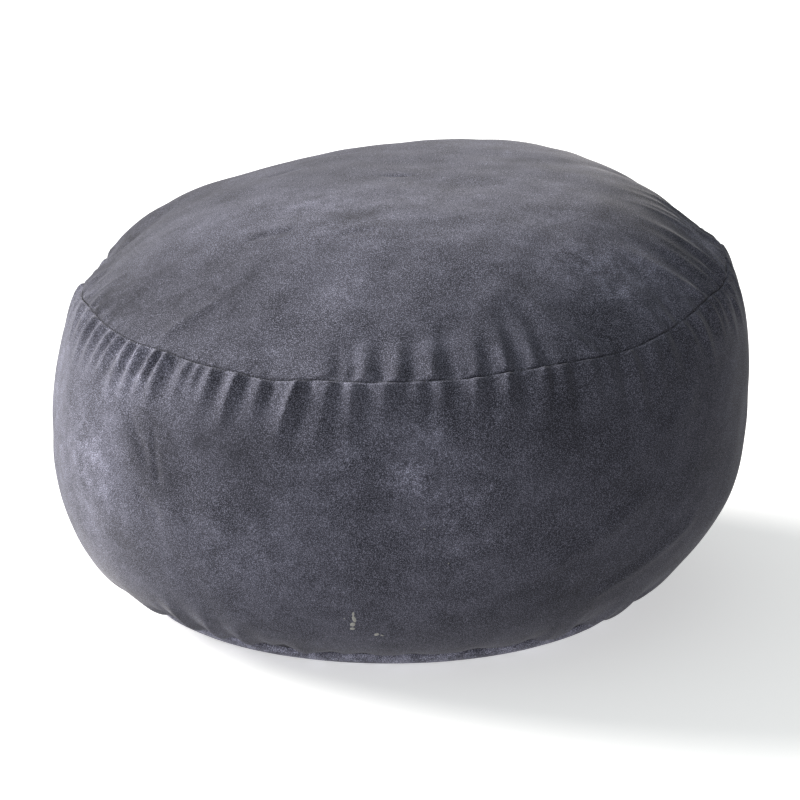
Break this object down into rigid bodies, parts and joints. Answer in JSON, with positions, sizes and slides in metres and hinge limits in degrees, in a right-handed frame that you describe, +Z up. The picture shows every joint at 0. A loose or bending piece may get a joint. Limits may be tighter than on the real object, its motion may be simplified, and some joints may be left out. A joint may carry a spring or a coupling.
{
  "type": "floor pouf",
  "caption": "Round filled floor pouf in grey velvet, with a low domed top, a bulging gathered side and a flat round base.",
  "frame": {"origin": "on the floor, under the middle of the pouf's bounding box", "axes": "+Z up from the floor; -Y towards the side that faces the camera in the picture; +X to the right in the picture"},
  "size_m": [0.5988, 0.5835, 0.373],
  "materials": {
    "cover": "short-pile velvet, dark blue-grey, paler where it turns away from the eye"
  },
  "bodies": {
    "root": {"top_panel": "cover", "side_band": "cover", "base_panel": "cover"}
  },
  "joints": []
}
